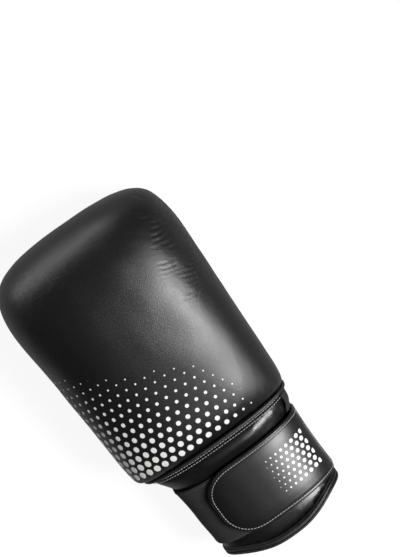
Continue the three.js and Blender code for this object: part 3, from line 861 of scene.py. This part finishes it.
def cord_tree():
    """A round cord along each line."""
    tree = new_tree("round_cord", ["Radius"])
    given = put(tree, "NodeGroupInput")
    curve = put(tree, "GeometryNodeMeshToCurve", inputs={"Mesh": given.outputs["Geometry"]})
    circle = put(
        tree,
        "GeometryNodeCurvePrimitiveCircle",
        inputs={"Resolution": given.outputs["Sides"], "Radius": given.outputs["Radius"]},
    )
    cord = put(
        tree,
        "GeometryNodeCurveToMesh",
        inputs={"Curve": curve.outputs[0], "Profile Curve": circle.outputs[0], "Fill Caps": True},
    )
    return finish_tree(tree, cord.outputs[0], given)


def stitch_tree():
    """Stitches laid end to end along each line."""
    tree = new_tree("stitch_row", ["Pitch", "Length", "Thickness"])
    given = put(tree, "NodeGroupInput")
    curve = put(tree, "GeometryNodeMeshToCurve", inputs={"Mesh": given.outputs["Geometry"]})
    spots = put(
        tree,
        "GeometryNodeCurveToPoints",
        {"mode": "LENGTH"},
        {"Curve": curve.outputs[0], "Length": given.outputs["Pitch"]},
    )
    ball = put(
        tree,
        "GeometryNodeMeshUVSphere",
        inputs={"Segments": given.outputs["Sides"], "Rings": 5, "Radius": 0.5},
    )
    facing = put(
        tree,
        "FunctionNodeAlignRotationToVector",
        {"axis": "X"},
        {"Vector": spots.outputs["Tangent"]},
    )
    size = put(
        tree,
        "ShaderNodeCombineXYZ",
        inputs={
            "X": given.outputs["Length"],
            "Y": given.outputs["Thickness"],
            "Z": given.outputs["Thickness"],
        },
    )
    row = put(
        tree,
        "GeometryNodeInstanceOnPoints",
        inputs={
            "Points": spots.outputs["Points"],
            "Instance": ball.outputs[0],
            "Rotation": facing.outputs[0],
            "Scale": size.outputs[0],
        },
    )
    return finish_tree(tree, row.outputs[0], given)


def follow(obj, tree, material, sides, sizes):
    modifier = obj.modifiers.new(tree.name, "NODES")
    modifier.node_group = tree
    values = dict(sizes, Sides=sides, Material=material)
    for item in tree.interface.items_tree:
        if item.in_out == "INPUT" and item.name in values:
            modifier[item.identifier] = values[item.name]
    return plain(obj)


def swept(name, lines, radius, sides, material, closed=False):
    path = path_object(name, lines, closed)
    return follow(path, round_cord, material, sides, {"Radius": radius})


def stitched(name, lines, sizes):
    return follow(path_object(name, lines), stitch_row, thread, 6, sizes)


def strap_stitches():
    """A row all round the strap, a fixed distance inside its edge."""
    inside = STRAP_STITCH_IN
    corner = STRAP_CORNER - inside
    end = 1 - inside / STRAP_REACH
    turn = np.linspace(0, math.pi / 2, 16)[1:]
    side = np.linspace(STRAP_SEWN, end - corner / STRAP_REACH, 50)
    u = np.concatenate([side, end - corner / STRAP_REACH * (1 - np.sin(turn))])
    half = BAND_HALF - inside - np.concatenate([0 * side, corner * (1 - np.cos(turn))])
    free = np.linspace(half[-1], -half[-1], 12)[1:-1]
    sewn = np.linspace(-half[0], half[0], 30)[1:]
    around = np.concatenate([u, np.full_like(free, end), u[::-1], np.full_like(sewn, u[0])])
    across = np.concatenate([half, free, -half[::-1], sewn])
    return stitched("strap_stitches", [strap_point(around, across, 0.0001)], FINE_STITCH)


def seam_stitches():
    """Two rows on the back panel just below the pad's seam."""
    rows = []
    for y in (SEAM_Y - 0.003, SEAM_Y - 0.003 - SEAM_ROW_GAP):
        angle = np.linspace(0.3, math.pi + 0.05, 90)
        rows.append(wrist_point(y, angle, puff(y, angle) + 0.0005))
    return stitched("seam_stitches", rows, FINE_STITCH)


def palm_stitches():
    """Double rows on the lip and on the palm leather, on both sides of the grip roll."""
    rows = []
    for y in (LIP_Y + 0.0024, LIP_Y + 0.0024 + ROW_GAP):
        x = np.linspace(-0.054, 0.052, 60)
        rows.append(points(x, y, lip_height(np.abs(x) / 0.057, y) - 0.0001))
    for y in (GRIP_Y - 0.0016, GRIP_Y - 0.0016 - ROW_GAP):
        x = np.linspace(-0.052, 0.05, 60)
        rows.append(points(x, y, on_palm(x, np.full_like(x, y)) - 0.0002))
    return stitched("palm_stitches", rows, STITCH)


def hem_stitches():
    """A dashed row under the wrist, along its bound edge."""
    x = np.linspace(-0.026, 0.038, 60)
    y = np.full_like(x, RIM_Y + 0.0035)
    return stitched("hem_stitches", [points(x, y, on_palm(x, y) - 0.0001)], FINE_STITCH)


def thumb_stitches():
    turn = np.linspace(0, 2 * math.pi, 120)
    rows = [thumb_ring(at, THUMB_HEM + 0.0001, turn) for at in (0.95, 2.4)]
    return stitched("thumb_stitches", rows, FINE_STITCH)


def loop_stitches():
    """Dark thread along both edges of the loop cloth."""
    rows = []
    for y in (BAND_HALF - 0.0034, -BAND_HALF + 0.0034):
        angle = np.linspace(0.7, math.pi - 0.02, 90)
        rows.append(wrist_point(y, angle, LAYER_GAP + LOOP_THICK + 0.0001))
    path = path_object("loop_stitches", rows)
    return follow(path, stitch_row, dark_thread, 6, FINE_STITCH)


# Finishes


def new_group(name, inputs, outputs):
    tree = bpy.data.node_groups.new(name, "ShaderNodeTree")
    for socket in inputs:
        tree.interface.new_socket(socket, in_out="INPUT", socket_type="NodeSocketFloat")
    for socket in outputs:
        tree.interface.new_socket(socket, in_out="OUTPUT", socket_type="NodeSocketFloat")
    return tree


def math_node(tree, operation, *values):
    inputs = {i: value for i, value in enumerate(values)}
    return put(tree, "ShaderNodeMath", {"operation": operation}, inputs).outputs[0]


def grain_group():
    """Leather grain: a fine pebbled height, a slow change of tone and a change of gloss."""
    tree = new_group("leather_grain", ["Grain Scale", "Crease Share"], ["Height", "Tone", "Gloss"])
    given = put(tree, "NodeGroupInput")
    place = object_place(tree)
    pebble = put(
        tree,
        "ShaderNodeTexVoronoi",
        {"feature": "DISTANCE_TO_EDGE"},
        {"Vector": place, "Scale": given.outputs["Grain Scale"], "Randomness": 1.0},
    )
    pore = noise_node(tree, place, 900.0, 2.0)
    crease = noise_node(tree, place, 160.0, 4.0, 1.2)
    slow = noise_node(tree, place, 22.0, 3.0)
    cell = math_node(tree, "MULTIPLY", pebble.outputs["Distance"], 2.0)
    cell = math_node(tree, "MINIMUM", cell, 0.5)
    fine = math_node(tree, "MULTIPLY_ADD", pore, 0.4, cell)
    fold = math_node(tree, "MULTIPLY", crease, given.outputs["Crease Share"])
    height = math_node(tree, "ADD", fine, fold)
    gloss = math_node(tree, "MULTIPLY_ADD", crease, 0.3, math_node(tree, "MULTIPLY", slow, 0.7))
    put(tree, "NodeGroupOutput", inputs={"Height": height, "Tone": slow, "Gloss": gloss})
    return tree


def dot_group():
    """A mask of round dots in staggered rows, with their pitch and their radius in shares of it."""
    tree = new_group("dot_field", ["Across", "Along", "Pitch", "Size"], ["Mask"])
    given = put(tree, "NodeGroupInput")

    def cells(shift):
        across = math_node(tree, "DIVIDE", given.outputs["Across"], given.outputs["Pitch"])
        along = math_node(tree, "DIVIDE", given.outputs["Along"], given.outputs["Pitch"])
        x = math_node(tree, "FRACT", math_node(tree, "ADD", across, shift))
        y = math_node(tree, "FRACT", math_node(tree, "MULTIPLY_ADD", along, ROW_SHARE, shift))
        x = math_node(tree, "SUBTRACT", x, 0.5)
        y = math_node(tree, "DIVIDE", math_node(tree, "SUBTRACT", y, 0.5), ROW_SHARE)
        square = math_node(tree, "MULTIPLY_ADD", x, x, math_node(tree, "MULTIPLY", y, y))
        return math_node(tree, "SQRT", square)

    nearest = math_node(tree, "MINIMUM", cells(0.0), cells(0.5))
    inside = math_node(tree, "SUBTRACT", given.outputs["Size"], nearest)
    put(tree, "NodeGroupOutput", inputs={"Mask": ramp(tree, inside, -0.02, 0.02)})
    return tree


def new_material(name, **constants):
    material = bpy.data.materials.new(name)
    material.use_nodes = True
    tree = material.node_tree
    surface = tree.nodes["Principled BSDF"]
    for key, value in constants.items():
        surface.inputs[key.replace("_", " ")].default_value = value
    return material, tree, surface


def noise_node(tree, place, scale, detail, distortion=0.0):
    inputs = {"Vector": place, "Scale": scale, "Detail": detail, "Distortion": distortion}
    return put(tree, "ShaderNodeTexNoise", inputs=inputs).outputs[0]


def object_place(tree):
    return put(tree, "ShaderNodeTexCoord").outputs["Object"]


def dress(tree, surface, colour, roughness, normal):
    for key, value in (("Base Color", colour), ("Roughness", roughness), ("Normal", normal)):
        tree.links.new(value, surface.inputs[key])


def tone_mix(tree, factor, low, high):
    return put(
        tree,
        "ShaderNodeMix",
        {"data_type": "RGBA"},
        {"Factor": factor, 6: (*low, 1), 7: (*high, 1)},
    ).outputs[2]


def ramp(tree, value, start, end, low=0.0, high=1.0):
    inputs = {"Value": value, "From Min": start, "From Max": end, "To Min": low, "To Max": high}
    return put(tree, "ShaderNodeMapRange", inputs=inputs).outputs[0]


def bumped(tree, height, distance):
    return put(tree, "ShaderNodeBump", inputs={"Height": height, "Distance": distance}).outputs[0]


def leather(name, smooth, rough, grain_scale, crease, depth, dark=BLACK, light=WORN_BLACK):
    """Leather with grain, a slow change of tone and gloss between two roughnesses."""
    material, tree, surface = new_material(name)
    grain = put(
        tree,
        "ShaderNodeGroup",
        {"node_tree": leather_grain},
        {"Grain Scale": grain_scale, "Crease Share": crease},
    )
    colour = tone_mix(tree, grain.outputs["Tone"], dark, light)
    roughness = ramp(tree, grain.outputs["Gloss"], 0.0, 1.0, smooth, rough)
    dress(tree, surface, colour, roughness, bumped(tree, grain.outputs["Height"], depth))
    return material


def printed(material, pitch, field):
    """Prints pale dots on a leather. field(tree, across, along) is their radius in shares of the pitch."""
    tree = material.node_tree
    surface = tree.nodes["Principled BSDF"]
    place = put(tree, "ShaderNodeAttribute", {"attribute_name": "print_place"})
    parts = put(tree, "ShaderNodeSeparateXYZ", inputs={"Vector": place.outputs["Vector"]})
    across, along, share = (parts.outputs[key] for key in "XYZ")
    size = math_node(tree, "MULTIPLY", field(tree, across, along), share)
    dots = put(
        tree,
        "ShaderNodeGroup",
        {"node_tree": dot_field},
        {"Across": across, "Along": along, "Pitch": pitch, "Size": size},
    )
    shown = math_node(tree, "GREATER_THAN", size, 0.06)
    mask = math_node(tree, "MULTIPLY", dots.outputs["Mask"], shown)
    bare = surface.inputs["Base Color"].links[0].from_socket
    ink = put(
        tree,
        "ShaderNodeMix",
        {"data_type": "RGBA"},
        {"Factor": mask, 6: bare, 7: INK},
    )
    tree.links.new(ink.outputs[2], surface.inputs["Base Color"])
    return material


def pad_dots(tree, across, along):
    """Largest at the far side of the wrist, fading to the fingers and the thumb."""
    slope = math_node(tree, "MULTIPLY_ADD", across, 0.45, along)
    size = ramp(tree, slope, 0.03, 0.125, DOT_RADIUS, 0.0)
    size = math_node(tree, "MULTIPLY", size, ramp(tree, across, 0.015, 0.05, 1.0, 0.0))
    return math_node(tree, "MULTIPLY", size, math_node(tree, "GREATER_THAN", along, 0.0488))


def strap_dots(tree, across, along):
    """A field in the middle of the strap, fading to its free end."""
    size = ramp(tree, across, 0.021, 0.058, DOT_RADIUS, 0.08)
    for low, high in ((0.0205, 0.021), (0.058, 0.0575)):
        size = math_node(tree, "MULTIPLY", size, ramp(tree, across, low, high))
    level = math_node(tree, "ABSOLUTE", along)
    return math_node(tree, "MULTIPLY", size, ramp(tree, level, 0.0139, 0.0142, 1.0, 0.0))


def woven_cloth(name, colour, scale, depth):
    material, tree, surface = new_material(name)
    place = object_place(tree)
    waves = [
        put(
            tree,
            "ShaderNodeTexWave",
            {"bands_direction": way},
            {"Vector": place, "Scale": scale, "Distortion": 0.6, "Detail Scale": 3.0},
        ).outputs[1]
        for way in ("X", "Y")
    ]
    weave = math_node(tree, "MULTIPLY", waves[0], waves[1])
    fuzz = noise_node(tree, place, 1400.0, 3.0)
    height = math_node(tree, "MULTIPLY_ADD", fuzz, 0.5, weave)
    pale = tuple(2.6 * c + 0.004 for c in colour)
    roughness = ramp(tree, fuzz, 0.0, 1.0, 0.7, 1.0)
    dress(tree, surface, tone_mix(tree, weave, colour, pale), roughness, bumped(tree, height, depth))
    return material


def napped_cloth(name, colour, **constants):
    material, tree, surface = new_material(name, **constants)
    place = object_place(tree)
    tufts = noise_node(tree, place, 1100.0, 5.0)
    clumps = noise_node(tree, place, 240.0, 3.0)
    height = math_node(tree, "MULTIPLY_ADD", clumps, 1.5, tufts)
    pale = tuple(2.2 * c for c in colour)
    roughness = ramp(tree, clumps, 0.0, 1.0, 0.8, 1.0)
    dress(tree, surface, tone_mix(tree, tufts, colour, pale), roughness, bumped(tree, height, 0.0004))
    return material


def spun_thread(name, dark, light):
    material, tree, surface = new_material(name)
    place = object_place(tree)
    twist = noise_node(tree, place, 2500.0, 2.0)
    roughness = ramp(tree, twist, 0.0, 1.0, 0.55, 0.8)
    dress(tree, surface, tone_mix(tree, twist, dark, light), roughness, bumped(tree, twist, 0.0001))
    return material


# Camera, light and floor


def camera():
    """Above the glove, leaning to the fingertips and turned about its line of sight."""
    aim = np.array([0.0545, 0.1325, 0.03])
    distance = 1.0
    lean = math.radians(12)
    roll = math.radians(-35.5)
    back = np.array([0, math.tan(lean), 1.0])
    back /= np.linalg.norm(back)
    level = np.cross((0, 1, 0), back)
    level /= np.linalg.norm(level)
    upright = np.cross(back, level)
    right = math.cos(roll) * level + math.sin(roll) * upright
    up = -math.sin(roll) * level + math.cos(roll) * upright
    data = bpy.data.cameras.new("camera")
    data.sensor_width = 36
    data.lens = 97.3
    obj = bpy.data.objects.new("camera", data)
    bpy.context.scene.collection.objects.link(obj)
    obj.matrix_world = Matrix(
        [[right[i], up[i], back[i], aim[i] + back[i] * distance] for i in range(3)] + [[0, 0, 0, 1]]
    )
    bpy.context.scene.camera = obj


def softbox(name, place, size, power_watts, aim=(0, 0.08, 0.03)):
    data = bpy.data.lights.new(name, "AREA")
    data.shape = "RECTANGLE"
    data.size, data.size_y = size
    data.energy = power_watts
    obj = bpy.data.objects.new(name, data)
    obj.location = place
    obj.rotation_euler = (Vector(aim) - Vector(place)).to_track_quat("-Z", "Y").to_euler()
    bpy.context.scene.collection.objects.link(obj)


def studio(half=9):
    corners = [(-half, -half, 0), (half, -half, 0), (half, half, 0), (-half, half, 0)]
    floor = mesh_object("floor", corners, [(0, 1, 2, 3)])
    material, tree, surface = new_material("floor_white", Roughness=0.9, Specular_IOR_Level=0.1)
    surface.inputs["Base Color"].default_value = (0.09, 0.09, 0.09, 1)
    surface.inputs["Emission Color"].default_value = WHITE
    seen = put(tree, "ShaderNodeLightPath").outputs["Is Camera Ray"]
    tree.links.new(ramp(tree, seen, 0.0, 1.0, 0.26, 0.92), surface.inputs["Emission Strength"])
    behind = put(tree, "ShaderNodeNewGeometry").outputs["Backfacing"]
    tree.links.new(math_node(tree, "SUBTRACT", 1.0, behind), surface.inputs["Alpha"])
    floor.data.materials.append(material)
    world = bpy.data.worlds.new("studio")
    world.use_nodes = True
    tree = world.node_tree
    background = tree.nodes["Background"]
    background.inputs["Color"].default_value = WHITE
    seen = put(tree, "ShaderNodeLightPath").outputs["Is Camera Ray"]
    tree.links.new(ramp(tree, seen, 0.0, 1.0, 0.06, 0.96), background.inputs["Strength"])
    bpy.context.scene.world = world
    softbox("key", (0.61, -0.22, 0.95), (0.6, 0.42), 24)
    softbox("fill", (-0.4, 1.35, 0.18), (1.6, 0.5), 12)
    bpy.context.scene.view_settings.view_transform = "Standard"


# The glove


def finish(obj, slot, *nodes, material=None):
    """Gives a piece its material and lets it ride with the glove in place of its CAD nodes. Its slot is not
    used.
    """
    if material:
        obj.data.materials.clear()
        obj.data.materials.append(material)
    obj.data.shade_smooth()
    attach(obj, "root")
    if nodes:
        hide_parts(*nodes)
    return obj


leather_grain = grain_group()
dot_field = dot_group()
round_cord = cord_tree()
stitch_row = stitch_tree()

pad_leather = leather("pad_leather", 0.35, 0.41, grain_scale=1100.0, crease=0.25, depth=0.00006)
palm_leather = leather("palm_leather", 0.2, 0.3, grain_scale=1300.0, crease=0.12, depth=0.00004)
cuff_leather = leather("cuff_leather", 0.27, 0.36, grain_scale=1100.0, crease=0.4, depth=0.00005)
strap_leather = leather("strap_leather", 0.34, 0.41, grain_scale=1100.0, crease=0.25, depth=0.00004)
binding_tape = leather(
    "binding_tape",
    0.35,
    0.55,
    grain_scale=1800.0,
    crease=0.6,
    depth=0.00008,
    dark=(0.005, 0.005, 0.006),
    light=(0.012, 0.012, 0.013),
)
printed(pad_leather, PAD_DOT_PITCH, pad_dots)
printed(strap_leather, STRAP_DOT_PITCH, strap_dots)
gusset_cloth = woven_cloth("gusset_cloth", (0.008, 0.008, 0.009), 1000.0, 0.0002)
elastic_web = woven_cloth("elastic_web", (0.009, 0.009, 0.01), 900.0, 0.0002)
loop_cloth = napped_cloth("loop_cloth", (0.006, 0.006, 0.0065), Sheen_Weight=0.06, Sheen_Roughness=0.5)
thread = spun_thread("thread", (0.24, 0.24, 0.235), (0.45, 0.45, 0.44))
dark_thread = spun_thread("dark_thread", (0.02, 0.02, 0.02), (0.06, 0.06, 0.06))

finish(knuckle_pad(), "pad_leather", "knuckle_pad", material=pad_leather)
finish(grip_roll(), "palm_leather", "grip_roll", material=palm_leather)
finish(cuff_back(), "cuff_leather", "cuff_back", material=cuff_leather)
finish(palm_panel(), "palm_leather", "palm_panel", material=palm_leather)
finish(thumb_sleeve(), "palm_leather", "thumb_sleeve", material=palm_leather)
finish(finger_lip(), "palm_leather", "finger_lip", material=palm_leather)
finish(wrist_strap(), "strap_leather", "wrist_strap", material=strap_leather)
finish(loop_patch(), "loop_cloth", "loop_patch", material=loop_cloth)
finish(side_gusset(), "gusset_cloth", "side_gusset", material=gusset_cloth)
finish(elastic_band(), "elastic_web", "elastic_band", material=elastic_web)
finish(elastic_ribs(), "elastic_web")
finish(seam_welt(), "binding_tape", "seam_welt")
finish(cuff_binding(), "binding_tape", "cuff_binding", material=binding_tape)
finish(rim_ridges(), "binding_tape")
finish(palm_piping(), "binding_tape")
finish(vent_rim(), "palm_leather")
finish(strap_stitches(), "strap_leather")
finish(seam_stitches(), "cuff_leather")
finish(palm_stitches(), "palm_leather")
finish(hem_stitches(), "palm_leather")
finish(thumb_stitches(), "palm_leather")
finish(loop_stitches(), "loop_cloth")

camera()
studio()
